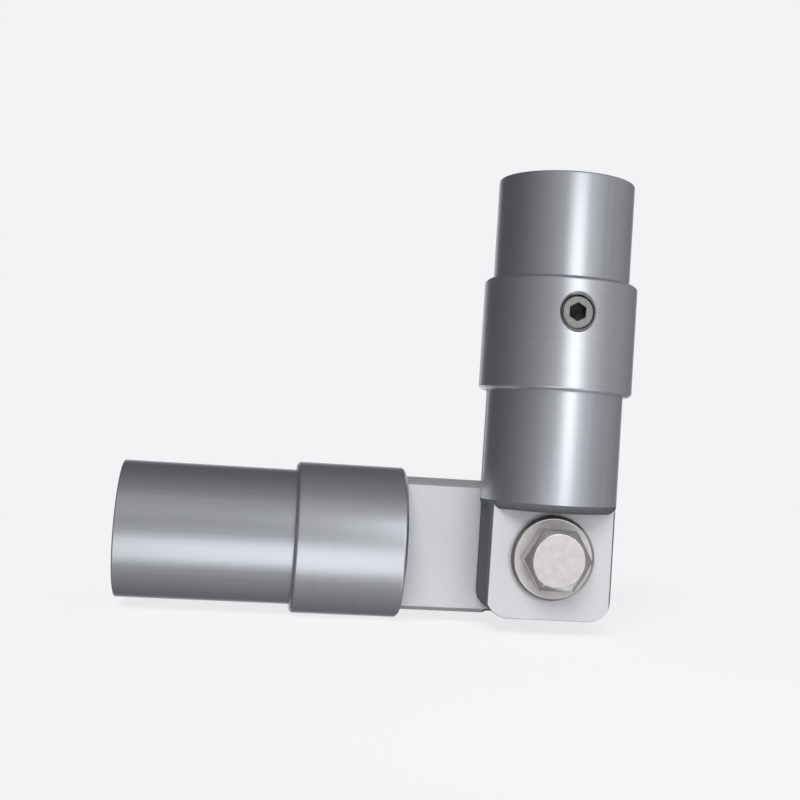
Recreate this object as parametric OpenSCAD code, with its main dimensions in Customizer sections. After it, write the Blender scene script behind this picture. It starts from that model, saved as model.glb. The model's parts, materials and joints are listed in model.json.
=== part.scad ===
// Adjustable corner connector for round tube.
// Two alike knuckles lap on one bolt. Each carries a tube stub under a collar that a grub screw holds.
// Each arm is drawn along +Z from the pivot, with its outer side towards -Y and its mating side towards +Y.

/* [Tubes] */
// Outside diameter of both tubes and of the round knuckle bodies
tube_d = 42.4; // [38:0.2:48]
// Wall thickness of both tubes
tube_wall = 2.6; // [2:0.1:3.2]
// Distance from the pivot to the open mouth of the base tube
base_reach = 131; // [105:1:240]
// Distance from the pivot to the open mouth of the upright tube
upright_reach = 116; // [105:1:240]

/* [Collars] */
// Wall thickness of both collars
collar_wall = 2.5; // [2:0.1:4]
// Length of both collars
collar_len = 34.4; // [30:0.2:38]
// Bevel round both rims of a collar
collar_bevel = 0.9; // [0.4:0.1:1.4]
// Distance from the pivot to the base collar
base_collar_at = 43.3; // [43.2:0.1:50]
// Distance from the pivot to the upright collar
upright_collar_at = 50.2; // [43.2:0.1:53]

/* [Knuckles] */
// Thickness of each lapped tongue
tongue_t = 18.5; // [15:0.5:24]
// Width of each tongue across its milled sides
tongue_w = 39.5; // [34:0.5:41]
// Reach of each tongue past the pivot
tongue_reach = 19; // [16:0.5:22]
// Radius of the two corners at the tongue's end
tongue_corner_r = 7.5; // [3:0.5:9]
// Distance from the pivot to the shoulder of the outer flat
shoulder_at = 14; // [13.4:0.2:20]
// Distance from the pivot to the end of the mating flat
mating_flat_end = 43.8; // [36:0.1:48]
// Radius of the round edge where the body ends at the shoulder
shoulder_round = 2.5; // [1:0.1:4]
// Amount that the tongue is turned down below the round body
tongue_relief = 0.2; // [0.1:0.1:0.5]
// Distance from the pivot to the seam between knuckle and tube
seam_at = 55; // [52:0.5:60]
// Length of the spigot that plugs into the tube
spigot_len = 35; // [28:0.5:40]
// Bevel at the spigot's end
spigot_bevel = 1.5; // [0.5:0.1:2]
// Depth of the counterbore wall that seats the spigot
seat_depth = 0.3; // [0.2:0.05:0.5]

/* [Pivot bolt] */
// Diameter of the bolt shank
bolt_d = 12; // [10:0.5:13]
// Width across the flats of the bolt head and of the nut
hex_af = 18; // [17:0.5:20]
// Diameter of the flat round face left by the bevel of the head and the nut
hex_face_d = 16; // [14:0.5:17]
// Slope of that bevel, in degrees
hex_bevel_angle = 30; // [20:1:40]
// Height of the bolt head
head_h = 7.5; // [6:0.5:9]
// Length of bolt that stands out of the nut
bolt_past_nut = 3; // [1:0.5:6]
// Bevel at the bolt's tip
bolt_tip_bevel = 1.2; // [0.5:0.1:1.5]
// Outside diameter of both washers
washer_d = 26; // [24:0.5:26.5]
// Thickness of both washers
washer_t = 2.5; // [2:0.1:3]
// Bevel round a washer's outer edge
washer_bevel = 0.9; // [0.4:0.1:1.2]
// Height of the lock nut
nut_h = 12; // [11:0.5:14]
// Height of the nut's round crown that holds the insert
nut_crown_h = 4; // [3.5:0.1:5]
// Wall of the nut's round crown
nut_crown_wall = 1; // [0.8:0.1:1.2]
// Height of the soft insert ring
insert_h = 2.8; // [2:0.1:3]

/* [Grub screws] */
// Diameter of both grub screws
grub_d = 10; // [8:0.5:12]
// Length of both grub screws
grub_len = 12; // [10:0.5:14]
// Width across the flats of the socket
grub_socket_af = 5; // [3:0.5:5]
// Depth of the socket
grub_socket_depth = 5; // [4:0.5:7]
// Bevel round the screw's head and point
grub_bevel = 0.5; // [0.3:0.1:1.2]
// Distance from a collar's outer rim to its screw
grub_from_rim = 10.8; // [9:0.1:14]
// Depth of the screw's head below the collar's surface
grub_sunk = 0.6; // [0.5:0.1:1.5]
// Bevel of the countersink round the screw's hole in the collar
grub_countersink = 1; // [0.5:0.1:1.4]

/* [Clearances] */
// Gap between the two mating flats, and under the head washer
face_gap = 0.1; // [0.05:0.01:0.2]
// Gap round the bolt in both tongues, on the radius
bolt_gap = 0.08; // [0.04:0.01:0.1]
// Gap round the bolt in the washers, on the radius
washer_gap = 0.5; // [0.3:0.05:0.6]
// Gap round the bolt in the nut and insert, on the radius
nut_gap = 0.05; // [0.02:0.01:0.1]
// Gap between a tube and its collar, on the radius
collar_gap = 0.1; // [0.05:0.01:0.2]
// Gap between a spigot and its seat, on the radius
spigot_gap = 0.08; // [0.04:0.01:0.15]
// Gap round a grub screw, on the radius
grub_gap = 0.1; // [0.05:0.01:0.2]
// Gap past a grub screw's point
grub_point_gap = 0.4; // [0.3:0.1:1]

/* [Hidden] */
$fn = 96;

// Radii shared by the pieces that fit together
tube_r = tube_d / 2;
bore_r = tube_r - tube_wall;
seat_r = bore_r + seat_depth;
spigot_r = seat_r - spigot_gap;
collar_bore_r = tube_r + collar_gap;
collar_r = collar_bore_r + collar_wall;
tongue_r = tube_r - tongue_relief;
bolt_r = bolt_d / 2;
grub_r = grub_d / 2;

// Places along an arm
spigot_end = seam_at + spigot_len;
base_grub_at = base_collar_at + collar_len - grub_from_rim;
upright_grub_at = upright_collar_at + collar_len - grub_from_rim;
grub_head_r = collar_r - grub_sunk;
grub_point_r = grub_head_r - grub_len;

// Places across the lap joint, with the base arm's axis at zero
pivot_x = base_reach;
upright_y = -(tongue_t + face_gap);
washer_back_y = upright_y - tongue_t / 2 - face_gap;
head_seat_y = washer_back_y - washer_t;
nut_seat_y = tongue_t / 2 + washer_t;
bolt_len = nut_seat_y + nut_h + bolt_past_nut - head_seat_y;
insert_floor = nut_h - nut_crown_h;
insert_r = hex_af / 2 - nut_crown_wall;

// A cut starts this far outside the face that it opens
lead = 1;

module place_base() {
    translate([pivot_x, 0, 0]) rotate([180, 0, 0]) rotate([0, -90, 0]) children();
}

module place_upright() {
    translate([pivot_x, upright_y, 0]) children();
}

// Turns a piece drawn along +Z so that it points out of the arm's outer side
module outwards(at) {
    translate([0, 0, at]) rotate([90, 0, 0]) children();
}

// Turns a piece drawn along +Z so that it runs backwards along the pivot from a given depth
module along_pivot(from_y) {
    translate([pivot_x, from_y, 0]) rotate([-90, 0, 0]) children();
}

// Hexagon with flats above and below, bevelled round its corners at its top and, if asked, at its base
module bevelled_hex(h, bevel_base) {
    corner_r = hex_af / 2 / cos(30);
    face_r = hex_face_d / 2;
    drop = (corner_r - face_r) * tan(hex_bevel_angle);
    intersection() {
        cylinder(r = corner_r, h = h, $fn = 6);
        rotate_extrude()
            polygon([
                [0, 0],
                [bevel_base ? face_r : corner_r, 0],
                [corner_r, bevel_base ? drop : 0],
                [corner_r, h - drop],
                [face_r, h],
                [0, h]
            ]);
    }
}

// Hole for a grub screw, from its point out through the collar
module grub_hole(at) {
    outwards(at)
        translate([0, 0, grub_point_r - grub_point_gap])
            cylinder(r = grub_r + grub_gap, h = grub_len + grub_point_gap + grub_sunk + lead);
}

// Cone that opens a grub screw's hole at the collar's surface
module countersink(at) {
    wide_r = grub_r + grub_gap + grub_countersink;
    deep = wide_r + lead;
    outwards(at)
        translate([0, 0, collar_r + lead - deep])
            cylinder(r1 = 0, r2 = deep, h = deep);
}

module tube(reach, grub_at) {
    difference() {
        rotate_extrude()
            polygon([
                [seat_r, seam_at],
                [tube_r, seam_at],
                [tube_r, reach],
                [bore_r, reach],
                [bore_r, spigot_end],
                [seat_r, spigot_end]
            ]);
        grub_hole(grub_at);
    }
}

module collar(start, grub_at) {
    end = start + collar_len;
    difference() {
        rotate_extrude()
            polygon([
                [collar_bore_r, start],
                [collar_r - collar_bevel, start],
                [collar_r, start + collar_bevel],
                [collar_r, end - collar_bevel],
                [collar_r - collar_bevel, end],
                [collar_bore_r, end]
            ]);
        grub_hole(grub_at);
        countersink(grub_at);
    }
}

// Half section of a knuckle's round body and spigot, with a round edge at the shoulder
module turned_section() {
    translate([0, shoulder_at + shoulder_round])
        square([tube_r, seam_at - shoulder_at - shoulder_round]);
    translate([0, shoulder_at])
        square([tube_r - shoulder_round, seam_at - shoulder_at]);
    translate([tube_r - shoulder_round, shoulder_at + shoulder_round])
        circle(r = shoulder_round);
    polygon([
        [0, shoulder_at],
        [spigot_r, shoulder_at + shoulder_round],
        [spigot_r, spigot_end - spigot_bevel],
        [spigot_r - spigot_bevel, spigot_end],
        [0, spigot_end]
    ]);
}

// Outline of a tongue from the front, with round corners at its end
module tongue_outline() {
    half_w = tongue_w / 2;
    top = shoulder_at + shoulder_round;
    corner_z = tongue_corner_r - tongue_reach;
    translate([-half_w, corner_z])
        square([tongue_w, top - corner_z]);
    translate([tongue_corner_r - half_w, -tongue_reach])
        square([tongue_w - 2 * tongue_corner_r, top + tongue_reach]);
    for (side = [-1, 1])
        translate([side * (half_w - tongue_corner_r), corner_z])
            circle(r = tongue_corner_r);
}

// Flat tongue milled from the round bar, so that the bar still rounds its long edges
module tongue() {
    intersection() {
        rotate([90, 0, 0])
            linear_extrude(tongue_t, center = true)
                tongue_outline();
        translate([0, 0, -tongue_reach - lead])
            cylinder(r = tongue_r, h = tongue_reach + shoulder_at + shoulder_round + 2 * lead);
    }
}

module knuckle(grub_at) {
    difference() {
        union() {
            rotate_extrude() turned_section();
            tongue();
        }
        translate([-tube_d, tongue_t / 2, shoulder_at - lead])
            cube([2 * tube_d, tube_d, mating_flat_end - shoulder_at + lead]);
        rotate([90, 0, 0])
            cylinder(r = bolt_r + bolt_gap, h = 2 * tube_d, center = true);
        grub_hole(grub_at);
    }
}

module grub_screw(at) {
    outwards(at)
        translate([0, 0, grub_point_r])
            difference() {
                rotate_extrude()
                    polygon([
                        [0, grub_bevel],
                        [grub_r / 2, 0],
                        [grub_r - grub_bevel, 0],
                        [grub_r, grub_bevel],
                        [grub_r, grub_len - grub_bevel],
                        [grub_r - grub_bevel, grub_len],
                        [0, grub_len]
                    ]);
                translate([0, 0, grub_len - grub_socket_depth])
                    rotate([0, 0, 30])
                        cylinder(r = grub_socket_af / 2 / cos(30), h = grub_socket_depth + lead, $fn = 6);
            }
}

module washer() {
    rotate_extrude()
        polygon([
            [bolt_r + washer_gap, 0],
            [washer_d / 2, 0],
            [washer_d / 2, washer_t - washer_bevel],
            [washer_d / 2 - washer_bevel, washer_t],
            [bolt_r + washer_gap, washer_t]
        ]);
}

module base_tube() {
    color("silver") place_base() tube(base_reach, base_grub_at);
}

module base_collar() {
    color("gainsboro") place_base() collar(base_collar_at, base_grub_at);
}

module base_knuckle() {
    color("lightgray") place_base() knuckle(base_grub_at);
}

module base_grub_screw() {
    color("darkgray") place_base() grub_screw(base_grub_at);
}

module upright_tube() {
    color("silver") place_upright() tube(upright_reach, upright_grub_at);
}

module upright_collar() {
    color("gainsboro") place_upright() collar(upright_collar_at, upright_grub_at);
}

module upright_knuckle() {
    color("lightgray") place_upright() knuckle(upright_grub_at);
}

module upright_grub_screw() {
    color("darkgray") place_upright() grub_screw(upright_grub_at);
}

module pivot_bolt() {
    color("whitesmoke") {
        along_pivot(head_seat_y)
            rotate_extrude()
                polygon([
                    [0, 0],
                    [bolt_r, 0],
                    [bolt_r, bolt_len - bolt_tip_bevel],
                    [bolt_r - bolt_tip_bevel, bolt_len],
                    [0, bolt_len]
                ]);
        along_pivot(head_seat_y)
            mirror([0, 0, 1])
                bevelled_hex(head_h, false);
    }
}

module head_washer() {
    color("lightgray") along_pivot(washer_back_y) mirror([0, 0, 1]) washer();
}

module nut_washer() {
    color("lightgray") along_pivot(tongue_t / 2) washer();
}

module lock_nut() {
    color("whitesmoke")
        along_pivot(nut_seat_y)
            difference() {
                union() {
                    bevelled_hex(insert_floor, true);
                    cylinder(d = hex_af, h = nut_h);
                }
                translate([0, 0, -lead])
                    cylinder(r = bolt_r + nut_gap, h = nut_h + 2 * lead);
                translate([0, 0, insert_floor])
                    cylinder(r = insert_r, h = insert_h + nut_gap);
                translate([0, 0, insert_floor])
                    cylinder(r = insert_r - nut_crown_wall, h = nut_crown_h + lead);
            }
}

module nut_insert() {
    color("royalblue")
        along_pivot(nut_seat_y + insert_floor)
            difference() {
                cylinder(r = insert_r - nut_gap, h = insert_h);
                translate([0, 0, -lead])
                    cylinder(r = bolt_r + nut_gap, h = insert_h + 2 * lead);
            }
}

base_tube();
base_collar();
base_knuckle();
base_grub_screw();
upright_tube();
upright_collar();
upright_knuckle();
upright_grub_screw();
pivot_bolt();
head_washer();
nut_washer();
lock_nut();
nut_insert();
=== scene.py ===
# %% [markdown]
# # A corner connector for round tube
# Two short arms of round tube lap over each other and turn on one bolt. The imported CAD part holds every
# solid and joint already, so it is loaded first and stays as it is. This lesson dresses it: broken
# edges, screw threads, metal finishes and soft light.

import json
import math

import bmesh
import bpy
from mathutils import Matrix, Vector


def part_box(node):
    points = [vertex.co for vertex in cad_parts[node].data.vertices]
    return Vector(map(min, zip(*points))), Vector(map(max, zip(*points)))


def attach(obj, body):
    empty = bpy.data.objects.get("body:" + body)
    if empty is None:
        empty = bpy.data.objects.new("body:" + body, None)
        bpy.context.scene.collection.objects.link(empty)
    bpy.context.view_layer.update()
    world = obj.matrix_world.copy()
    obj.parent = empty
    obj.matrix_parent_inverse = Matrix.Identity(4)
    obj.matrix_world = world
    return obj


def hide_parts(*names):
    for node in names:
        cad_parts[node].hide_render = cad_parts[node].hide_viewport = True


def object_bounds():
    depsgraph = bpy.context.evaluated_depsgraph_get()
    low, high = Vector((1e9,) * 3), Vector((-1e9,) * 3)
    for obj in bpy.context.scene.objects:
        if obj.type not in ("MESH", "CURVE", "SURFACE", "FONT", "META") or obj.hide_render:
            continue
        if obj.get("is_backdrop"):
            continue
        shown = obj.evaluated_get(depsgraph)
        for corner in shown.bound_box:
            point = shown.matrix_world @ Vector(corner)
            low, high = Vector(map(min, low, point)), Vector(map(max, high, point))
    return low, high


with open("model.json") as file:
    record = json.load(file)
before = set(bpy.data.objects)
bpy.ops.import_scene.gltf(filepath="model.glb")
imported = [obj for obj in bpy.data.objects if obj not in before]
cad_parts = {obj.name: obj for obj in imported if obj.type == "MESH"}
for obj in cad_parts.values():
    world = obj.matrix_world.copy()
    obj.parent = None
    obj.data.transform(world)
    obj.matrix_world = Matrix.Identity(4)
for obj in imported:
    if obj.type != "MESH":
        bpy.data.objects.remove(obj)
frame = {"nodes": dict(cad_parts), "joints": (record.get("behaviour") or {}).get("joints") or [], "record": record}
cad_low, cad_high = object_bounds()
MM = 0.001
print("CAD box in mm:", [round(side / MM, 1) for side in cad_high - cad_low])

# %% [markdown]
# ## Where the arms are
# Both arms are made the same way, so each piece is drawn once, along +Z from the pivot with its outer
# side towards -Y, and a matrix carries it to its arm. The places could be typed in again, but reading
# them from the frame keeps the looks and the solids together.

# %% Read the arms from the frame
hinge = next(joint for joint in frame["joints"] if joint["type"] == "hinge")
pivot = Vector(hinge["pos_m"])
upright_low, upright_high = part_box("upright_tube")
upright_y = (upright_low.y + upright_high.y) / 2
ARMS = {
    "base": Matrix.Translation(pivot)
    @ Matrix.Rotation(math.pi, 4, "X")
    @ Matrix.Rotation(-math.pi / 2, 4, "Y"),
    "upright": Matrix.Translation((pivot.x, upright_y, 0)),
}
BODY_OF = {
    node: body
    for body, nodes in frame["record"]["behaviour"]["bodies"].items()
    for node in nodes
}


def span(arm, node):
    """Distances of a node's two ends from the pivot along its arm, and its radius."""
    corners = [ARMS[arm].inverted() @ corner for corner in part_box(node)]
    near, far = sorted(corner.z for corner in corners)
    return near, far, abs(corners[1].x - corners[0].x) / 2


for arm in ARMS:
    near, far, radius = span(arm, f"{arm}_tube")
    print(f"{arm} tube: {near / MM:.1f} to {far / MM:.1f} mm from the pivot, radius {radius / MM:.1f} mm")

# %% [markdown]
# ## Metal with a direction
# Drawn tube carries faint lines along its length, and a turned collar carries them round its girth.
# Both are one noise texture, stretched by a Mapping node. It could be painted on a UV map, but Object
# coordinates need no unwrapping, and they stay put when the piece moves. The noise moves the tone and
# the gloss a little and lifts the surface by a few thousandths of a millimetre.

# %% A metal finish with stretched grain
GRAIN_DETAIL = 3
TONE_FROM, TONE_TO = 0.3, 0.7


def grained_metal(name, dull, bright, roughness, grain, lift, metallic=1.0, specular=0.5):
    """Metal from two close tones, with noise stretched by grain, in cycles per metre on each axis."""
    material = bpy.data.materials.new(name)
    material.use_nodes = True
    nodes, links = material.node_tree.nodes, material.node_tree.links
    shader = nodes["Principled BSDF"]
    shader.inputs["Metallic"].default_value = metallic
    shader.inputs["Specular IOR Level"].default_value = specular
    place = nodes.new("ShaderNodeTexCoord")
    stretch = nodes.new("ShaderNodeMapping")
    stretch.inputs["Scale"].default_value = grain
    noise = nodes.new("ShaderNodeTexNoise")
    noise.inputs["Scale"].default_value = 1
    noise.inputs["Detail"].default_value = GRAIN_DETAIL
    tone = nodes.new("ShaderNodeValToRGB")
    tone.color_ramp.elements[0].position = TONE_FROM
    tone.color_ramp.elements[0].color = (*dull, 1)
    tone.color_ramp.elements[1].position = TONE_TO
    tone.color_ramp.elements[1].color = (*bright, 1)
    gloss = nodes.new("ShaderNodeMapRange")
    gloss.inputs["To Min"].default_value = roughness[0]
    gloss.inputs["To Max"].default_value = roughness[1]
    bump = nodes.new("ShaderNodeBump")
    bump.inputs["Strength"].default_value = 1
    bump.inputs["Distance"].default_value = lift
    links.new(place.outputs["Object"], stretch.inputs["Vector"])
    links.new(stretch.outputs["Vector"], noise.inputs["Vector"])
    links.new(noise.outputs["Fac"], tone.inputs["Fac"])
    links.new(noise.outputs["Fac"], gloss.inputs["Value"])
    links.new(noise.outputs["Fac"], bump.inputs["Height"])
    links.new(tone.outputs["Color"], shader.inputs["Base Color"])
    links.new(gloss.outputs["Result"], shader.inputs["Roughness"])
    links.new(bump.outputs["Normal"], shader.inputs["Normal"])
    return material


print("grain detail:", GRAIN_DETAIL)

# %% [markdown]
# ## Tube and collar
# The grain is counted in cycles per metre on each axis: many across the lines, and few along them. The
# base arm lies along X and the upright arm along Z, so each arm needs a finish of its own. The collars
# are turned finer than the tubes are drawn.

# %% Mix the tube and collar finishes
ACROSS = 700
ALONG = 9
DRAWN = {
    "base": (ALONG, ACROSS, ACROSS),
    "upright": (ACROSS, ACROSS, ALONG),
}
TURNED = {
    "base": (2 * ACROSS, ALONG, ALONG),
    "upright": (ALONG, ALONG, 2 * ACROSS),
}
drawn_tube = {}
turned_collar = {}
for arm in ARMS:
    drawn_tube[arm] = grained_metal(
        f"drawn_tube_{arm}",
        dull=(0.658, 0.685, 0.735),
        bright=(0.703, 0.732, 0.782),
        roughness=(0.31, 0.37),
        grain=DRAWN[arm],
        lift=0.002 * MM,
    )
    turned_collar[arm] = grained_metal(
        f"turned_collar_{arm}",
        dull=(0.675, 0.70, 0.745),
        bright=(0.71, 0.735, 0.78),
        roughness=(0.32, 0.37),
        grain=TURNED[arm],
        lift=0.001 * MM,
    )
    print(drawn_tube[arm].name, "and", turned_collar[arm].name)

# %% [markdown]
# ## Cut bar
# The knuckles are cut from the same bar, and the cutter leaves its own surface. A milled flat is pale
# and even, and scatters so much light that it is only partly a mirror. Bar that nobody polished is
# greyer and duller, and its tone is also darkened as painted shade. The sawn sides are rough, and their
# near-black tone is painted shade that stands in for the shadow along the tongue and under the
# shoulder. Their grain has no direction.

# %% Mix the finishes of cut bar
FINE_GRAIN = (1500, 1500, 1500)
milled_flat = grained_metal(
    "milled_flat",
    dull=(0.655, 0.652, 0.682),
    bright=(0.702, 0.70, 0.73),
    roughness=(0.5, 0.6),
    grain=FINE_GRAIN,
    lift=0.005 * MM,
    metallic=0.35,
)
# A duller, greyer finish for the half of the bar that turns to the other arm; its darker tone is partly painted
# shade.
dull_bar_painted_shade = grained_metal(
    "dull_bar_painted_shade",
    dull=(0.50, 0.505, 0.52),
    bright=(0.55, 0.555, 0.57),
    roughness=(0.45, 0.55),
    grain=FINE_GRAIN,
    lift=0.005 * MM,
    metallic=0.5,
)
# Near-black, barely shining finish for the tongue's sides and the shoulder: its dark tone is painted shade.
sawn_side_painted_shade = grained_metal(
    "sawn_side_painted_shade",
    dull=(0.10, 0.103, 0.109),
    bright=(0.14, 0.143, 0.15),
    roughness=(0.6, 0.8),
    grain=FINE_GRAIN,
    lift=0.008 * MM,
    metallic=0.0,
    specular=0.15,
)
print("cut bar:", [metal.name for metal in (milled_flat, dull_bar_painted_shade, sawn_side_painted_shade)])

# %% [markdown]
# ## Bolt and screw steel
# Fasteners are made by the thousand and tumbled, so their tone is cloudy rather than lined. The nut,
# the thread and the sides of the bolt's head are bright, and the flat faces of the head and the washers
# are matte. The grub screws keep a dark oxide, and inside the socket a near-black tone is painted shade.

# %% Mix the steels
CLOUDY_GRAIN = (420, 420, 420)
OXIDE_GRAIN = (600, 600, 600)
bright_steel = grained_metal(
    "bright_steel",
    dull=(0.56, 0.55, 0.535),
    bright=(0.66, 0.65, 0.635),
    roughness=(0.20, 0.28),
    grain=CLOUDY_GRAIN,
    lift=0.005 * MM,
)
matte_steel = grained_metal(
    "matte_steel",
    dull=(0.575, 0.552, 0.545),
    bright=(0.69, 0.664, 0.656),
    roughness=(0.45, 0.6),
    grain=CLOUDY_GRAIN,
    lift=0.006 * MM,
    metallic=0.35,
)
dark_steel = grained_metal(
    "dark_steel",
    dull=(0.21, 0.21, 0.205),
    bright=(0.29, 0.29, 0.285),
    roughness=(0.34, 0.46),
    grain=OXIDE_GRAIN,
    lift=0.004 * MM,
)
# Near-black finish for the inside of the grub screw sockets: painted shade in the recess.
socket_painted_shade = grained_metal(
    "socket_painted_shade",
    dull=(0.030, 0.029, 0.026),
    bright=(0.055, 0.053, 0.048),
    roughness=(0.5, 0.7),
    grain=OXIDE_GRAIN,
    lift=0.004 * MM,
    metallic=0.0,
)
print("steels:", [metal.name for metal in (bright_steel, matte_steel, dark_steel, socket_painted_shade)])

# %% [markdown]
# ## Rings into skins
# Tubes, collars, washers and hexagons are all stacks of rings. One helper joins neighbouring rings with
# quads, and either closes the stack on itself, as for anything with a hole, or caps its two ends. A
# Screw modifier could turn the round ones, but then the hexagons would need another way.

# %% Join a stack of rings
TURN_STEPS = 192


def circle(radius, height, steps=TURN_STEPS):
    """One ring of points round the Z axis."""
    turn = 2 * math.pi / steps
    return [
        Vector((radius * math.cos(turn * step), radius * math.sin(turn * step), height))
        for step in range(steps)
    ]


def skin(name, rings, closed):
    """A mesh object over a stack of rings that all have the same number of points."""
    bm = bmesh.new()
    loops = [[bm.verts.new(point) for point in ring] for ring in rings]
    uppers = loops[1:] + loops[:1] if closed else loops[1:]
    for lower, upper in zip(loops, uppers):
        for here in range(len(lower)):
            beside = (here + 1) % len(lower)
            bm.faces.new((lower[here], lower[beside], upper[beside], upper[here]))
    if not closed:
        bm.faces.new(loops[0])
        bm.faces.new(loops[-1])
    bmesh.ops.recalc_face_normals(bm, faces=bm.faces)
    mesh = bpy.data.meshes.new(name)
    bm.to_mesh(mesh)
    bm.free()
    piece = bpy.data.objects.new(name, mesh)
    bpy.context.scene.collection.objects.link(piece)
    return piece


print("a full ring has", TURN_STEPS, "points")

# %% [markdown]
# ## Broken edges
# No cut edge on real metal is perfectly sharp, and the thin bright line on it is much of what makes
# metal look real. On a turned piece the edge is rounded in its outline, before it is turned: each
# corner becomes a short curve. That is cleaner than a Bevel modifier, which has to guess where the
# edges are.

# %% Turn an outline with rounded corners
CORNER_STEPS = 4
SIDE_PARTS = 2.2


def soften(outline, edge):
    """Replaces each corner of a closed outline by a curve that starts and ends an edge length from it."""
    soft = []
    for i, corner in enumerate(outline):
        corner = Vector(corner)
        before = Vector(outline[i - 1]) - corner
        after = Vector(outline[(i + 1) % len(outline)]) - corner
        reach = min(edge, before.length / SIDE_PARTS, after.length / SIDE_PARTS)
        start = corner + before.normalized() * reach
        end = corner + after.normalized() * reach
        for step in range(CORNER_STEPS + 1):
            t = step / CORNER_STEPS
            soft.append(start.lerp(corner, t).lerp(corner.lerp(end, t), t))
    return soft


def turned(name, outline, edge):
    """A ring-shaped piece from a closed outline of (radius, height) points."""
    return skin(name, [circle(*point) for point in soften(outline, edge)], closed=True)


print("soften makes", len(soften([(0, 0), (1, 0), (1, 1), (0, 1)], 0.1)), "points of a square")

# %% [markdown]
# ## Finishing a piece
# Each finished piece is shaded smooth up to a set angle. A Weighted Normal modifier lets the broad
# faces set the shading, so that a thin rounded edge doesn't tilt the light on the wall beside it. Then
# the piece is attached to the body that carries it, and the CAD solid it stands for is hidden.

# %% Settle, shade and hand over a piece
SMOOTH_BELOW = math.radians(38)
FACES_FLAT = 0.999
MERGE = 1e-6


def settle(piece):
    """Bakes the modifiers of a piece into its mesh."""
    evaluated = piece.evaluated_get(bpy.context.evaluated_depsgraph_get())
    mesh = bpy.data.meshes.new_from_object(evaluated)
    piece.modifiers.clear()
    piece.data = mesh


def clean(piece):
    """Merges points that fall together and removes faces without area."""
    bm = bmesh.new()
    bm.from_mesh(piece.data)
    bmesh.ops.remove_doubles(bm, verts=bm.verts, dist=MERGE)
    bmesh.ops.dissolve_degenerate(bm, edges=bm.edges, dist=MERGE)
    bm.to_mesh(piece.data)
    bm.free()


def cut(piece, *cutters):
    """Takes the cutters' shapes out of a piece and deletes them."""
    for cutter in cutters:
        boolean = piece.modifiers.new("Cut", "BOOLEAN")
        boolean.operation = "DIFFERENCE"
        boolean.solver = "EXACT"
        boolean.material_mode = "TRANSFER"
        boolean.object = cutter
    settle(piece)
    clean(piece)
    for cutter in cutters:
        bpy.data.objects.remove(cutter)


def finish(piece, around, front=None):
    """Gives a piece one finish and, if asked, another to the flat faces that look along the bolt."""
    mesh = piece.data
    mesh.materials.clear()
    mesh.materials.append(around)
    if front:
        mesh.materials.append(front)
        for face in mesh.polygons:
            face.material_index = int(abs(face.normal.y) > FACES_FLAT)


def hand_over(piece, node):
    """Shades a piece and puts it in the place of its CAD solid."""
    piece.data.shade_smooth()
    piece.data.set_sharp_from_angle(angle=SMOOTH_BELOW)
    weighted = piece.modifiers.new("Even shading", "WEIGHTED_NORMAL")
    weighted.keep_sharp = True
    settle(piece)
    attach(piece, BODY_OF[node])
    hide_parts(node)
    print(f"{piece.name}: {len(piece.data.polygons)} faces, on {BODY_OF[node]}, for {node}")


print("shaded smooth below", round(math.degrees(SMOOTH_BELOW)), "degrees")

# %% [markdown]
# ## Screw holes
# Each collar has a tapped hole with a countersunk mouth, and the hole goes on through the tube. A
# cylinder and a cone are cut out of the turned pieces with Boolean modifiers, which is how a drill and
# a countersink do it.

# %% Drill and countersink
HOLE_GAP = 0.1 * MM
COUNTERSINK = 1.0 * MM
CONE_TIP = 0.1 * MM
LEAD = 1.0 * MM
HOLE_STEPS = 96
FORWARDS = Matrix.Rotation(math.pi / 2, 4, "X")


def screw_axis(arm):
    """Matrix of a grub screw's own axis: its +Z points out of the arm, from the arm's centre line."""
    near, far, _ = span(arm, f"{arm}_grub_screw")
    return ARMS[arm] @ Matrix.Translation((0, 0, (near + far) / 2)) @ FORWARDS


def screw_radius(arm):
    """Radius of an arm's grub screw."""
    near, far, _ = span(arm, f"{arm}_grub_screw")
    return (far - near) / 2


def drill(arm):
    """Cylinder of an arm's screw hole, from the centre line outwards."""
    radius = screw_radius(arm) + HOLE_GAP
    collar_r = span(arm, f"{arm}_collar")[2]
    ends = [circle(radius, 0, HOLE_STEPS), circle(radius, collar_r + LEAD, HOLE_STEPS)]
    tool = skin("drill", ends, closed=False)
    tool.data.transform(screw_axis(arm))
    return tool


def countersink(arm):
    """Cone that opens an arm's screw hole at the collar's surface."""
    collar_r = span(arm, f"{arm}_collar")[2]
    wide = screw_radius(arm) + HOLE_GAP + COUNTERSINK + LEAD
    top = collar_r + LEAD
    ends = [circle(CONE_TIP, top - wide + CONE_TIP, HOLE_STEPS), circle(wide, top, HOLE_STEPS)]
    tool = skin("countersink", ends, closed=False)
    tool.data.transform(screw_axis(arm))
    return tool


print("screw hole radius in mm:", round((screw_radius("upright") + HOLE_GAP) / MM, 2))

# %% [markdown]
# ## Tubes
# Each arm ends in a stub of drawn tube. It has a thin wall, a mouth with a lightly broken edge, and a
# counterbore where the knuckle's spigot plugs in. The outline goes once round the wall, so that the
# bore is real and can be looked into.

# %% Draw the tubes
SEAT_DEPTH = 0.3 * MM
TUBE_EDGE = 0.5 * MM
bore_r = frame["record"]["mounts"][0]["dims"]["r_mm"] * MM
seat_r = bore_r + SEAT_DEPTH
for arm in ARMS:
    seam, mouth, tube_r = span(arm, f"{arm}_tube")
    spigot_end = span(arm, f"{arm}_knuckle")[1]
    wall = [
        (seat_r, seam),
        (tube_r, seam),
        (tube_r, mouth),
        (bore_r, mouth),
        (bore_r, spigot_end),
        (seat_r, spigot_end),
    ]
    tube = turned(f"{arm}_tube_drawn", wall, TUBE_EDGE)
    tube.data.transform(ARMS[arm])
    cut(tube, drill(arm))
    finish(tube, drawn_tube[arm])
    hand_over(tube, f"{arm}_tube")

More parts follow.
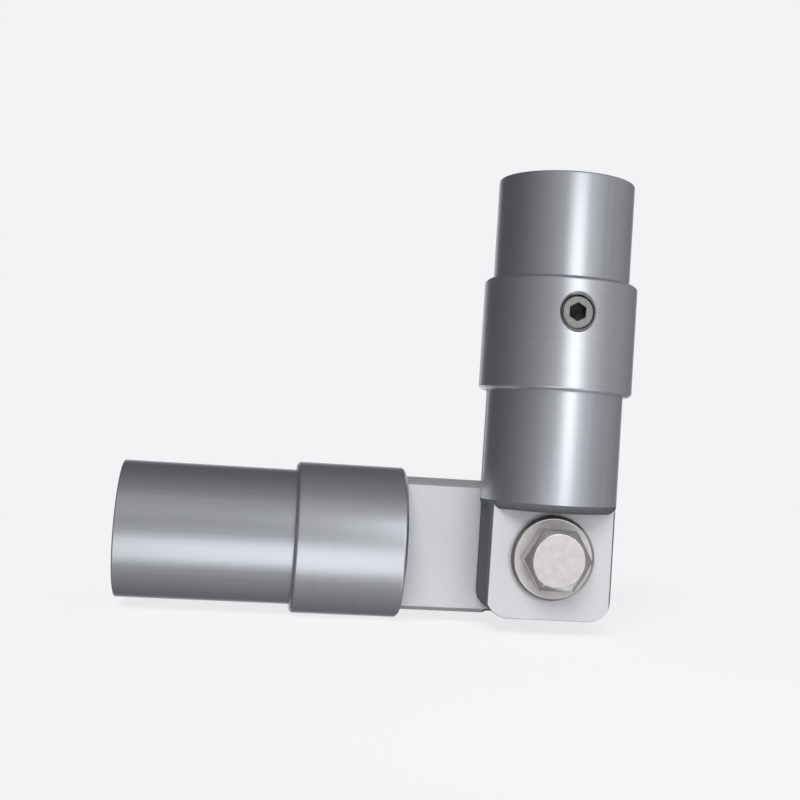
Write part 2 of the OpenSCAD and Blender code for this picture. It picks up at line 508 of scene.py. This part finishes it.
# %% [markdown]
# ## Collars
# A collar is a turned sleeve over the seam of knuckle and tube. Its rims are bevelled, and the bevels
# show as bright lines. The bevels are corners of the outline, and each is then softened a little.

# %% Turn the collars
COLLAR_BEVEL = 0.9 * MM
COLLAR_GAP = 0.1 * MM
COLLAR_EDGE = 0.35 * MM
for arm in ARMS:
    tube_r = span(arm, f"{arm}_tube")[2]
    start, end, collar_r = span(arm, f"{arm}_collar")
    inner_r = tube_r + COLLAR_GAP
    sleeve = [
        (inner_r, start),
        (collar_r - COLLAR_BEVEL, start),
        (collar_r, start + COLLAR_BEVEL),
        (collar_r, end - COLLAR_BEVEL),
        (collar_r - COLLAR_BEVEL, end),
        (inner_r, end),
    ]
    collar = turned(f"{arm}_collar_turned", sleeve, COLLAR_EDGE)
    collar.data.transform(ARMS[arm])
    cut(collar, drill(arm), countersink(arm))
    finish(collar, turned_collar[arm])
    hand_over(collar, f"{arm}_collar")

# %% [markdown]
# ## Knuckles
# The knuckles are the hard part: a round bar, cut down to a flat tongue on one side of a shoulder. The
# CAD solid has that shape exactly, so a copy of it is used here, and the solid itself stays as it is.
# The copy's loose triangles are merged and its flat faces become whole again, which a Bevel modifier
# needs later. They become whole in two halves, because one face can't go all the way round a bolt hole.

# %% Copy a knuckle with whole faces
FLAT_ANGLE = math.radians(0.2)


def merged_copy(node, name, middle):
    """A copy of a CAD solid with whole flat faces on both sides of the middle plane of an arm."""
    bm = bmesh.new()
    bm.from_mesh(frame["nodes"][node].data)
    bmesh.ops.remove_doubles(bm, verts=bm.verts, dist=MERGE)
    halves = bmesh.ops.bisect_plane(
        bm,
        geom=[*bm.verts, *bm.edges, *bm.faces],
        dist=MERGE,
        plane_co=middle.translation,
        plane_no=middle.col[0].xyz,
    )
    for part in halves["geom_cut"]:
        if isinstance(part, bmesh.types.BMEdge):
            part.seam = True
    bmesh.ops.dissolve_limit(
        bm, angle_limit=FLAT_ANGLE, verts=bm.verts, edges=bm.edges, delimit={"SEAM"}
    )
    mesh = bpy.data.meshes.new(name)
    bm.to_mesh(mesh)
    bm.free()
    piece = bpy.data.objects.new(name, mesh)
    bpy.context.scene.collection.objects.link(piece)
    return piece


knuckles = {arm: merged_copy(f"{arm}_knuckle", f"{arm}_knuckle_milled", ARMS[arm]) for arm in ARMS}
for knuckle in knuckles.values():
    print(f"{knuckle.name}: {len(knuckle.data.polygons)} whole faces")

# %% [markdown]
# ## Milled, painted shade, dull and polished
# A machined piece shows how each face was cut. The flats take the milled finish. The sides of the
# tongue and the shoulder are rough and painted near-black as shade, the half of the bar that turns to
# the other arm is left dull and painted darker as shade, and the half that shows is polished like the
# tubes. Each face takes its finish by its place and its direction, which is surer than selecting faces
# by hand. A Bevel modifier then breaks every edge over a set angle.

# %% Finish the knuckles and break their edges
FLAT_WITHIN = 12 * MM
# Faces below this height, except the flats, take the near-black painted shade.
SHADE_PAINTED_BELOW = 16.6 * MM
KNUCKLE_EDGE = 0.35 * MM
KNUCKLE_EDGE_STEPS = 2
EDGE_OVER = math.radians(32)
POLISHED, MILLED, SAWN_PAINTED_SHADE, DULL_PAINTED_SHADE = range(4)


def knuckle_finish(face, spot):
    """Slot of a knuckle face's finish, from its direction and its centre as the arm is drawn."""
    if abs(face.normal.y) > FACES_FLAT and abs(spot.y) < FLAT_WITHIN:
        return MILLED
    if spot.z < SHADE_PAINTED_BELOW:
        return SAWN_PAINTED_SHADE
    # The half towards the other arm takes the darker dull bar, partly painted shade.
    return DULL_PAINTED_SHADE if spot.y > 0 else POLISHED


for arm, knuckle in knuckles.items():
    for material in (drawn_tube[arm], milled_flat, sawn_side_painted_shade, dull_bar_painted_shade):
        knuckle.data.materials.append(material)
    for face in knuckle.data.polygons:
        face.material_index = knuckle_finish(face, ARMS[arm].inverted() @ face.center)
    bevel = knuckle.modifiers.new("Broken edges", "BEVEL")
    bevel.width = KNUCKLE_EDGE
    bevel.segments = KNUCKLE_EDGE_STEPS
    bevel.limit_method = "ANGLE"
    bevel.angle_limit = EDGE_OVER
    bevel.use_clamp_overlap = False
    settle(knuckle)
    clean(knuckle)
    hand_over(knuckle, f"{arm}_knuckle")

# %% [markdown]
# ## Threads
# A thread follows a rule: the groove's depth depends on the angle round the screw and the height along
# it. That suits Geometry Nodes. A cylinder with many rings is squeezed inwards wherever the rule says
# groove, so the mesh stays closed. The same tree, with other sizes, makes the bolt's shank and both
# grub screws.

# %% A thread tree
THREAD_INPUTS = ("Radius", "Length", "Pitch", "Depth", "Plain Length", "Tip Bevel")
THREAD_STEPS = 64
RINGS_PER_PITCH = 10


def thread_tree(material):
    """Geometry Nodes that cut a thread into a rod along Z, for one material."""
    tree = bpy.data.node_groups.new(f"Cut thread {material.name}", "GeometryNodeTree")
    for label in THREAD_INPUTS:
        tree.interface.new_socket(name=label, in_out="INPUT", socket_type="NodeSocketFloat")
    tree.interface.new_socket(name="Geometry", in_out="OUTPUT", socket_type="NodeSocketGeometry")
    sizes = tree.nodes.new("NodeGroupInput").outputs

    def link(value, socket):
        if isinstance(value, bpy.types.NodeSocket):
            tree.links.new(value, socket)
        else:
            socket.default_value = value

    def math_node(operation, *values):
        node = tree.nodes.new("ShaderNodeMath")
        node.operation = operation
        for value, socket in zip(values, node.inputs):
            link(value, socket)
        return node.outputs[0]

    rod = tree.nodes.new("GeometryNodeMeshCylinder")
    rod.fill_type = "NGON"
    rod.inputs["Vertices"].default_value = THREAD_STEPS
    turns = math_node("DIVIDE", sizes["Length"], sizes["Pitch"])
    link(math_node("MULTIPLY", turns, RINGS_PER_PITCH), rod.inputs["Side Segments"])
    link(sizes["Radius"], rod.inputs["Radius"])
    link(sizes["Length"], rod.inputs["Depth"])

    point = tree.nodes.new("ShaderNodeSeparateXYZ")
    link(tree.nodes.new("GeometryNodeInputPosition").outputs[0], point.inputs[0])
    half = math_node("MULTIPLY", sizes["Length"], 0.5)
    height = math_node("ADD", point.outputs["Z"], half)
    angle = math_node("ARCTAN2", point.outputs["Y"], point.outputs["X"])
    turns_up = math_node("DIVIDE", height, sizes["Pitch"])
    turns_round = math_node("DIVIDE", angle, math.tau)
    wound = math_node("SUBTRACT", turns_up, turns_round)
    ramp = math_node("MULTIPLY", math_node("PINGPONG", wound, 0.5), 2)
    started = tree.nodes.new("ShaderNodeMapRange")
    started.interpolation_type = "SMOOTHSTEP"
    link(height, started.inputs["Value"])
    link(sizes["Plain Length"], started.inputs["From Min"])
    link(math_node("ADD", sizes["Plain Length"], sizes["Pitch"]), started.inputs["From Max"])
    groove = math_node("MULTIPLY", math_node("MULTIPLY", ramp, sizes["Depth"]), started.outputs["Result"])
    threaded_r = math_node("SUBTRACT", sizes["Radius"], groove)

    from_end = math_node("SUBTRACT", half, math_node("ABSOLUTE", point.outputs["Z"]))
    lost = math_node("MAXIMUM", math_node("SUBTRACT", sizes["Tip Bevel"], from_end), 0)
    bevelled_r = math_node("SUBTRACT", sizes["Radius"], lost)
    share = math_node("DIVIDE", math_node("MINIMUM", threaded_r, bevelled_r), sizes["Radius"])
    place = tree.nodes.new("ShaderNodeCombineXYZ")
    link(math_node("MULTIPLY", point.outputs["X"], share), place.inputs["X"])
    link(math_node("MULTIPLY", point.outputs["Y"], share), place.inputs["Y"])
    link(point.outputs["Z"], place.inputs["Z"])
    squeeze = tree.nodes.new("GeometryNodeSetPosition")
    link(rod.outputs["Mesh"], squeeze.inputs["Geometry"])
    link(place.outputs[0], squeeze.inputs["Position"])
    realize = tree.nodes.new("GeometryNodeRealizeInstances")
    link(squeeze.outputs[0], realize.inputs[0])
    coat = tree.nodes.new("GeometryNodeSetMaterial")
    coat.inputs["Material"].default_value = material
    link(realize.outputs[0], coat.inputs["Geometry"])
    link(coat.outputs[0], tree.nodes.new("NodeGroupOutput").inputs[0])
    return tree


THREADS = {material: thread_tree(material) for material in (bright_steel, dark_steel)}
print("thread trees:", [tree.name for tree in THREADS.values()])

# %% [markdown]
# ## Rods from the tree
# A tree only describes a rod. To get one, an empty mesh takes the tree as a modifier, its sizes are set
# by each socket's identifier, and the result is baked into a plain mesh, which can be cut and carried
# by a body as any other mesh.


# %% Make a threaded rod
def threaded_rod(name, material, **sizes):
    """A plain mesh of the thread tree's rod. Its lower end is at the origin and it runs along +Z."""
    rod = bpy.data.objects.new(name, bpy.data.meshes.new(name))
    bpy.context.scene.collection.objects.link(rod)
    tree = THREADS[material]
    modifier = rod.modifiers.new("Thread", "NODES")
    modifier.node_group = tree
    inputs = [item for item in tree.interface.items_tree if item.in_out == "INPUT"]
    sockets = {item.name: item.identifier for item in inputs}
    for label in THREAD_INPUTS:
        modifier[sockets[label]] = sizes[label.lower().replace(" ", "_")]
    settle(rod)
    rod.data.transform(Matrix.Translation((0, 0, sizes["length"] / 2)))
    return rod


print("a rod takes", ", ".join(THREAD_INPUTS))

# %% [markdown]
# ## Grub screws
# A grub screw is a headless threaded stud with a hexagon socket in one end and a cup point at the
# other. The thread comes from the tree, and the socket and the cup are cut out of its ends. The socket's
# cutter carries a near-black finish, painted shade for the dark inside of the recess, which the cut
# hands on to the new faces.

# %% Make the grub screws
GRUB_PITCH = 1.5 * MM
GRUB_THREAD_DEPTH = 0.75 * MM
GRUB_BEVEL = 0.5 * MM
SOCKET_AF = 5 * MM
SOCKET_DEPTH = 5 * MM
SOCKET_TIP = 1.4 * MM
SOCKET_TIP_SHARE = 10
CUP_DEPTH = 0.5 * MM
CUP_TIP = 0.1 * MM
CUP_STEPS = 48
HEX_CORNER = 1 / math.cos(math.radians(30))
HEX_TURN = Matrix.Rotation(math.radians(30), 4, "Z")
for arm in ARMS:
    node = f"{arm}_grub_screw"
    low, high = (ARMS[arm].inverted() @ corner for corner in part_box(node))
    point_at, head_at = sorted((-low.y, -high.y))
    length = head_at - point_at
    screw_r = screw_radius(arm)
    screw = threaded_rod(
        f"{arm}_grub_screw_cut",
        dark_steel,
        radius=screw_r,
        length=length,
        pitch=GRUB_PITCH,
        depth=GRUB_THREAD_DEPTH,
        plain_length=0,
        tip_bevel=GRUB_BEVEL,
    )
    socket_r = SOCKET_AF / 2 * HEX_CORNER
    floor_at = length - SOCKET_DEPTH
    socket = skin(
        "socket",
        [
            circle(socket_r / SOCKET_TIP_SHARE, floor_at, 6),
            circle(socket_r, floor_at + SOCKET_TIP, 6),
            circle(socket_r, length + LEAD, 6),
        ],
        closed=False,
    )
    socket.data.transform(HEX_TURN)
    # The socket's faces take a near-black finish: painted shade inside the recess.
    socket.data.materials.append(socket_painted_shade)
    cup_ends = [circle(screw_r / 2, -CUP_TIP, CUP_STEPS), circle(CUP_TIP, CUP_DEPTH, CUP_STEPS)]
    cup = skin("cup", cup_ends, closed=False)
    cut(screw, socket, cup)
    screw.data.transform(screw_axis(arm) @ Matrix.Translation((0, 0, point_at)))
    hand_over(screw, node)

# %% [markdown]
# ## Hexagons
# The bolt's head and the nut are hexagons with a cone turned off their corners, which leaves a round
# face and six curved edges. The curve needs no Boolean: each point of the hexagon drops by its distance
# outside the round face, times the cone's slope. The hexagon's corners are softened first, and each
# flat has several points so that the curve is smooth.

# %% A hexagon and its cone
HEX_AF = 18 * MM
HEX_FACE_R = 8 * MM
HEX_SLOPE = math.tan(math.radians(30))
HEX_EDGE = 0.35 * MM
FLAT_STEPS = 12


def hexagon():
    """Points round a hexagon with softened corners and evenly divided flats."""
    corners = [Vector((point.x, point.y)) for point in circle(HEX_AF / 2 * HEX_CORNER, 0, 6)]
    soft = soften(corners, HEX_EDGE)
    points = []
    for here, beside in zip(soft, soft[1:] + soft[:1]):
        pieces = FLAT_STEPS if (beside - here).length > HEX_EDGE else 1
        points += [here.lerp(beside, step / pieces) for step in range(pieces)]
    return points


HEXAGON = hexagon()


def round_ring(radius, height):
    """A round ring with one point for each point of the hexagon, at the same angle."""
    return [Vector((*(point.normalized() * radius), height)) for point in HEXAGON]


def hex_ring(height, slope=0.0, inset=0.0):
    """A hexagonal ring that drops by slope times its distance outside the round face."""
    ring = []
    for point in HEXAGON:
        flat = point.normalized() * (point.length - inset)
        ring.append(Vector((*flat, height - slope * (point.length - HEX_FACE_R))))
    return ring


print("hexagon:", len(HEXAGON), "points")

# %% [markdown]
# ## The pivot bolt
# One hexagon bolt holds the lap joint together. Its head is a stack of hexagonal and round rings, with
# a narrow ring on each side of an edge so that the edge catches light. The shank is a rod from the
# thread tree, plain under the head and threaded where the nut sits.

# %% Make the bolt
SHANK_R = 6 * MM
HEAD_H = 7.5 * MM
BOLT_PITCH = 1.75 * MM
BOLT_THREAD_DEPTH = 0.95 * MM
BOLT_TIP_BEVEL = 1.2 * MM
THREADED_LEN = 24 * MM
EDGE_STEP = 0.12 * MM
bolt_low, bolt_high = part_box("pivot_bolt")
head_seat = bolt_low.y + HEAD_H
BACKWARDS = Matrix.Rotation(-math.pi / 2, 4, "X")
head = skin(
    "bolt_head",
    [
        hex_ring(0, inset=EDGE_STEP),
        hex_ring(EDGE_STEP),
        hex_ring(HEAD_H - EDGE_STEP, HEX_SLOPE),
        hex_ring(HEAD_H, HEX_SLOPE, inset=EDGE_STEP),
        round_ring(HEX_FACE_R + EDGE_STEP, HEAD_H - EDGE_STEP * HEX_SLOPE),
        round_ring(HEX_FACE_R - 2 * EDGE_STEP, HEAD_H),
    ],
    closed=False,
)
head.data.transform(Matrix.Translation((pivot.x, head_seat, 0)) @ FORWARDS)
finish(head, bright_steel, matte_steel)
hand_over(head, "pivot_bolt")
shank_len = bolt_high.y - head_seat
shank = threaded_rod(
    "bolt_shank",
    bright_steel,
    radius=SHANK_R,
    length=shank_len,
    pitch=BOLT_PITCH,
    depth=BOLT_THREAD_DEPTH,
    plain_length=shank_len - THREADED_LEN,
    tip_bevel=BOLT_TIP_BEVEL,
)
shank.data.transform(Matrix.Translation((pivot.x, head_seat, 0)) @ BACKWARDS)
hand_over(shank, "pivot_bolt")

# %% [markdown]
# ## Washers
# A washer lies under the head and another under the nut. Each is turned, with a broad bevel on the side
# that shows and a stamped, softened edge.

# %% Turn the washers
WASHER_BEVEL = 0.9 * MM
WASHER_HOLE_GAP = 0.5 * MM
WASHER_EDGE = 0.25 * MM
for node, facing in (("head_washer", FORWARDS), ("nut_washer", BACKWARDS)):
    low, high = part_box(node)
    washer_r = (high.x - low.x) / 2
    thick = high.y - low.y
    hole_r = SHANK_R + WASHER_HOLE_GAP
    disc = [
        (hole_r, 0),
        (washer_r, 0),
        (washer_r, thick - WASHER_BEVEL),
        (washer_r - WASHER_BEVEL, thick),
        (hole_r, thick),
    ]
    back = high.y if facing is FORWARDS else low.y
    washer = turned(f"{node}_turned", disc, WASHER_EDGE)
    washer.data.transform(Matrix.Translation((pivot.x, back, 0)) @ facing)
    finish(washer, bright_steel, matte_steel)
    hand_over(washer, node)

# %% [markdown]
# ## The lock nut
# Behind the joint, a nut with a round crown grips the thread through its soft ring. Its skin is one
# closed stack of rings: up the outside from the hexagon to the crown, over the lip, and down through
# the pocket and the bore.

# %% Make the nut
BORE_GAP = 0.05 * MM
CROWN_H = 4 * MM
CROWN_WALL = 1 * MM
CROWN_ROUND = 0.5 * MM
INSERT_H = 2.8 * MM
nut_low, nut_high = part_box("lock_nut")
nut_h = nut_high.y - nut_low.y
hex_h = nut_h - CROWN_H
crown_r = HEX_AF / 2
pocket_r = crown_r - CROWN_WALL
lip_r = pocket_r - CROWN_WALL
nut_bore_r = SHANK_R + BORE_GAP
pocket_top = hex_h + INSERT_H + BORE_GAP
crown_foot = hex_h - HEX_SLOPE * (crown_r - HEX_FACE_R)
nut = skin(
    "nut_body",
    [
        round_ring(HEX_FACE_R, 0),
        hex_ring(0, -HEX_SLOPE, inset=EDGE_STEP),
        hex_ring(EDGE_STEP, -HEX_SLOPE),
        hex_ring(hex_h - EDGE_STEP, HEX_SLOPE),
        hex_ring(hex_h, HEX_SLOPE, inset=EDGE_STEP),
        round_ring(crown_r, crown_foot + EDGE_STEP),
        round_ring(crown_r, nut_h - CROWN_ROUND),
        round_ring(crown_r - CROWN_ROUND / 3, nut_h - CROWN_ROUND / 3),
        round_ring(crown_r - CROWN_ROUND, nut_h),
        round_ring(lip_r, nut_h),
        round_ring(lip_r, pocket_top),
        round_ring(pocket_r, pocket_top),
        round_ring(pocket_r, hex_h),
        round_ring(nut_bore_r, hex_h),
        round_ring(nut_bore_r, 0),
    ],
    closed=True,
)
nut.data.transform(Matrix.Translation((pivot.x, nut_low.y, 0)) @ BACKWARDS)
finish(nut, bright_steel)
hand_over(nut, "lock_nut")

# %% [markdown]
# ## The soft ring in the nut
# A lock nut grips with a ring of nylon. It is the one piece that isn't metal: a matte plastic whose
# colour drifts slightly, because moulded nylon is never quite even.

# %% Nylon
NYLON_CLOUD = 300
NYLON_ROUGH = 0.55
nylon = bpy.data.materials.new("nylon")
nylon.use_nodes = True
nylon_shader = nylon.node_tree.nodes["Principled BSDF"]
nylon_shader.inputs["Roughness"].default_value = NYLON_ROUGH
nylon_place = nylon.node_tree.nodes.new("ShaderNodeTexCoord")
nylon_cloud = nylon.node_tree.nodes.new("ShaderNodeTexNoise")
nylon_cloud.inputs["Scale"].default_value = NYLON_CLOUD
nylon_tone = nylon.node_tree.nodes.new("ShaderNodeValToRGB")
nylon_tone.color_ramp.elements[0].color = (0.03, 0.09, 0.36, 1)
nylon_tone.color_ramp.elements[1].color = (0.05, 0.13, 0.46, 1)
nylon.node_tree.links.new(nylon_place.outputs["Object"], nylon_cloud.inputs["Vector"])
nylon.node_tree.links.new(nylon_cloud.outputs["Fac"], nylon_tone.inputs["Fac"])
nylon.node_tree.links.new(nylon_tone.outputs["Color"], nylon_shader.inputs["Base Color"])
print("plastic finish:", nylon.name)

# %% Turn the soft ring
INSERT_EDGE = 0.4 * MM
insert_low, insert_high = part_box("nut_insert")
insert_r = (insert_high.x - insert_low.x) / 2
insert_h = insert_high.y - insert_low.y
grip = [(nut_bore_r, 0), (insert_r, 0), (insert_r, insert_h), (nut_bore_r, insert_h)]
soft_ring = turned("nut_soft_ring", grip, INSERT_EDGE)
soft_ring.data.transform(Matrix.Translation((pivot.x, insert_low.y, 0)) @ BACKWARDS)
finish(soft_ring, nylon)
hand_over(soft_ring, "nut_insert")

# %% [markdown]
# ## The room
# Bright metal is mostly a picture of the room round it, so the room is built by direction. A few
# helpers make the world's nodes: one for sums, one for smooth steps, and one that tells how far a ray
# goes along an axis.

# %% Helpers for the room
world = bpy.data.worlds.new("studio")
bpy.context.scene.world = world
world.use_nodes = True
world_nodes, world_links = world.node_tree.nodes, world.node_tree.links
direction = world_nodes.new("ShaderNodeTexCoord").outputs["Generated"]


def world_math(operation, *values):
    """A Math node of the world, with sockets linked to its inputs."""
    node = world_nodes.new("ShaderNodeMath")
    node.operation = operation
    for value, socket in zip(values, node.inputs):
        world_links.new(value, socket)
    return node.outputs[0]


def world_range(value, low, high, first, last):
    """A Map Range node of the world, from low..high to first..last."""
    node = world_nodes.new("ShaderNodeMapRange")
    node.interpolation_type = "SMOOTHSTEP"
    world_links.new(value, node.inputs["Value"])
    for label, number in (("From Min", low), ("From Max", high), ("To Min", first), ("To Max", last)):
        node.inputs[label].default_value = number
    return node.outputs["Result"]


def world_along(axis):
    """How far a ray of the world goes along an axis, from -1 to 1."""
    node = world_nodes.new("ShaderNodeVectorMath")
    node.operation = "DOT_PRODUCT"
    node.inputs[1].default_value = axis
    world_links.new(direction, node.inputs[0])
    return node.outputs["Value"]


print("room:", world.name)

# %% [markdown]
# ## The backdrop
# The object stands on a pale seamless sheet that also hangs behind it. Lighting a real sheet evenly is
# hard, so the camera sees a flat pale colour through Light Path, and metal mirrors that colour where
# the sheet hangs, behind the object. The rest of the room is dim, and dimmer at the back and on the
# left than at the front right, because the photographed metal has dark sides.

# %% Hang the backdrop
PALE = (0.879, 0.896, 0.905, 1)
ROOM_DARK, ROOM_LIGHT = 0.10, 0.36
ROOM_LIGHT_SIDE = (0.55, -0.83, -0.1)
SHEET_SIDE = (0, 1, 0)
SHEET_FROM, SHEET_FULL = 0.90, 0.98
seen = world_nodes["Background"]
seen.inputs["Color"].default_value = PALE
room = world_nodes.new("ShaderNodeBackground")
room_tone = world_range(world_along(ROOM_LIGHT_SIDE), -1, 1, ROOM_DARK, ROOM_LIGHT)
world_links.new(room_tone, room.inputs["Color"])
rays = world_nodes.new("ShaderNodeLightPath").outputs
mirrored = world_math("MAXIMUM", rays["Is Glossy Ray"], rays["Is Transmission Ray"])
sheet_zone = world_range(world_along(SHEET_SIDE), SHEET_FROM, SHEET_FULL, 0, 1)
pale_share = world_math("MAXIMUM", rays["Is Camera Ray"], world_math("MULTIPLY", mirrored, sheet_zone))
choose = world_nodes.new("ShaderNodeMixShader")
world_links.new(pale_share, choose.inputs["Fac"])
world_links.new(room.outputs[0], choose.inputs[1])
world_links.new(seen.outputs[0], choose.inputs[2])
world_links.new(choose.outputs[0], world_nodes["World Output"].inputs["Surface"])
print("backdrop:", len(world_nodes), "nodes")

# %% [markdown]
# ## The floor
# The same sheet lies under the object. Near the object a share of it takes real light, which keeps the
# soft shadow. It glows by just as much as that share falls short of the pale colour, and further away
# it only glows, so that no lamp leaves a bright patch on it. Rays that don't come from the camera meet
# plain matte paper.

# %% Mix the floor's paper
SHADOW_SHARE = 0.22
FLOOR_LIGHT = 0.66
LIT_NEAR, LIT_FAR = 0.14, 0.32
sheet = bpy.data.materials.new("pale_sheet")
sheet.use_nodes = True
sheet_nodes, sheet_links = sheet.node_tree.nodes, sheet.node_tree.links
sheet_nodes.remove(sheet_nodes["Principled BSDF"])
matte = sheet_nodes.new("ShaderNodeBsdfDiffuse")
matte.inputs["Color"].default_value = PALE
sheet_place = sheet_nodes.new("ShaderNodeTexCoord")
away = sheet_nodes.new("ShaderNodeVectorMath")
away.operation = "LENGTH"
share = sheet_nodes.new("ShaderNodeMapRange")
share.interpolation_type = "SMOOTHSTEP"
share.inputs["From Min"].default_value = LIT_NEAR
share.inputs["From Max"].default_value = LIT_FAR
share.inputs["To Min"].default_value = SHADOW_SHARE
share.inputs["To Max"].default_value = 0
tint = sheet_nodes.new("ShaderNodeVectorMath")
tint.operation = "SCALE"
tint.inputs[0].default_value = PALE[:3]
lit = sheet_nodes.new("ShaderNodeBsdfDiffuse")
rest = sheet_nodes.new("ShaderNodeMath")
rest.operation = "MULTIPLY_ADD"
rest.inputs[1].default_value = -FLOOR_LIGHT
rest.inputs[2].default_value = 1
glow = sheet_nodes.new("ShaderNodeEmission")
glow.inputs["Color"].default_value = PALE
both = sheet_nodes.new("ShaderNodeAddShader")
sheet_rays = sheet_nodes.new("ShaderNodeLightPath")
pick = sheet_nodes.new("ShaderNodeMixShader")
sheet_links.new(sheet_place.outputs["Object"], away.inputs[0])
sheet_links.new(away.outputs["Value"], share.inputs["Value"])
sheet_links.new(share.outputs["Result"], tint.inputs["Scale"])
sheet_links.new(tint.outputs["Vector"], lit.inputs["Color"])
sheet_links.new(share.outputs["Result"], rest.inputs[0])
sheet_links.new(rest.outputs[0], glow.inputs["Strength"])
sheet_links.new(lit.outputs[0], both.inputs[0])
sheet_links.new(glow.outputs[0], both.inputs[1])
sheet_links.new(sheet_rays.outputs["Is Camera Ray"], pick.inputs["Fac"])
sheet_links.new(matte.outputs[0], pick.inputs[1])
sheet_links.new(both.outputs[0], pick.inputs[2])
sheet_links.new(pick.outputs[0], sheet_nodes["Material Output"].inputs["Surface"])
print("floor paper:", sheet.name)

# %% Lay the floor
FLOOR_SIZE = 40
under_middle = ((cad_low.x + cad_high.x) / 2, 0, cad_low.z)
bpy.ops.mesh.primitive_plane_add(size=FLOOR_SIZE, location=under_middle)
floor = bpy.context.object
floor.name = "floor"
floor.data.materials.append(sheet)
floor.visible_glossy = False
floor.visible_shadow = False
floor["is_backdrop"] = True
print("floor at", round(cad_low.z / MM, 2), "mm")

# %% [markdown]
# ## Soft light
# Satin metal shows its surroundings, so the softboxes are placed by what the metal should mirror. They
# are described by direction, size and brightness, and the power of each lamp follows from its area, so
# that a larger one is not a brighter one.


# %% Helpers for the lamps
def add_lamp(name, kind, energy):
    """A lamp that the camera doesn't see."""
    lamp = bpy.data.lights.new(name, kind)
    lamp.energy = energy
    light = bpy.data.objects.new(name, lamp)
    light.visible_camera = False
    bpy.context.scene.collection.objects.link(light)
    print(f"{name}: {kind.lower()} lamp, energy {energy:.2f}")
    return light


def towards(azimuth, elevation):
    """Direction from the object, in degrees: azimuth 0 is the front, and it grows to the right."""
    turn, rise = math.radians(azimuth), math.radians(elevation)
    return Vector((math.sin(turn) * math.cos(rise), -math.cos(turn) * math.cos(rise), math.sin(rise)))


LIT_POINT = Vector((0.100, upright_y / 2, 0.02))


def softbox(name, azimuth, elevation, width, height, radiance, distance=0.6, lean=0):
    """A rectangular lamp of a given size and brightness that faces the object from a direction."""
    light = add_lamp(name, "AREA", radiance * math.pi * width * height)
    light.data.shape = "RECTANGLE"
    light.data.size = width
    light.data.size_y = height
    light.location = LIT_POINT + towards(azimuth, elevation) * distance
    facing = towards(azimuth, elevation).to_track_quat("Z", "Y").to_matrix()
    light.rotation_euler = (facing @ Matrix.Rotation(math.radians(lean), 3, "Z")).to_euler()


print("lamps look at", [round(side / MM, 1) for side in LIT_POINT], "mm")

# %% [markdown]
# ## Placing the lamps
# A narrow upright softbox in front on the right makes the streak on the upright arm, and a low one
# makes the streak on the base arm. Two broad dim ones fill above and on the right, and a low one on the
# right adds a glint. Two at the back keep the far sides from going dark. One distant lamp lights what
# is matte, and with it the floor, so that a soft shadow lies under the object. Metal doesn't mirror
# that one.

# %% Place the lamps
softbox(
    "key_right", azimuth=17.5, elevation=14, width=0.08, height=0.18, radiance=1.5, distance=0.25, lean=11
)
softbox("key_low", azimuth=-5, elevation=-29, width=0.34, height=0.45, radiance=0.90)
softbox("fill_above", azimuth=-10, elevation=42, width=0.50, height=0.45, radiance=0.12)
softbox("fill_right", azimuth=30, elevation=-10, width=0.50, height=0.90, radiance=0.2)
softbox("glint_right", azimuth=48, elevation=-46, width=0.26, height=0.30, radiance=0.8)
softbox("back_right", azimuth=150, elevation=12, width=0.20, height=0.50, radiance=0.6)
softbox("back_low", azimuth=192, elevation=-20, width=0.50, height=0.28, radiance=0.45)
SKY_STRENGTH = 2.1
SKY_WIDTH = math.radians(30)
sky = add_lamp("broad_light", "SUN", SKY_STRENGTH)
sky.data.angle = SKY_WIDTH
sky.rotation_euler = towards(azimuth=-18, elevation=40).to_track_quat("Z", "Y").to_euler()
sky.visible_glossy = False

# %% [markdown]
# ## The camera
# The camera stands close, a little left of the pivot and slightly above it, and it leans, so the
# upright arm leans in the picture. Its numbers come from fitting the outlines of both arms.

# %% Set up the camera
CAMERA_AT = Vector((42.1, -384.5, 33.5)) * MM
HEADING, TILT, ROLL = (math.radians(angle) for angle in (-8.235, 1.912, 3.676))
LENS_MM = 53.95
SENSOR_MM = 36
IMAGE_SIDE = 800
CENTRE_PIXEL = (440, 400)
NEAREST = 10 * MM
camera_data = bpy.data.cameras.new("camera")
camera_data.lens = LENS_MM
camera_data.sensor_width = SENSOR_MM
camera_data.shift_x = 0.5 - CENTRE_PIXEL[0] / IMAGE_SIDE
camera_data.shift_y = CENTRE_PIXEL[1] / IMAGE_SIDE - 0.5
camera_data.clip_start = NEAREST
camera = bpy.data.objects.new("camera", camera_data)
camera.matrix_world = (
    Matrix.Translation(CAMERA_AT)
    @ Matrix.Rotation(HEADING, 4, "Z")
    @ Matrix.Rotation(math.pi / 2 + TILT, 4, "X")
    @ Matrix.Rotation(ROLL, 4, "Z")
)
bpy.context.scene.collection.objects.link(camera)
bpy.context.scene.camera = camera
bpy.context.scene.view_settings.view_transform = "Standard"
print("camera at", [round(side / MM, 1) for side in CAMERA_AT], "mm")

# %% Measure and finish
low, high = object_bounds()
print("dressed box in mm:", [round(side / MM, 1) for side in high - low])
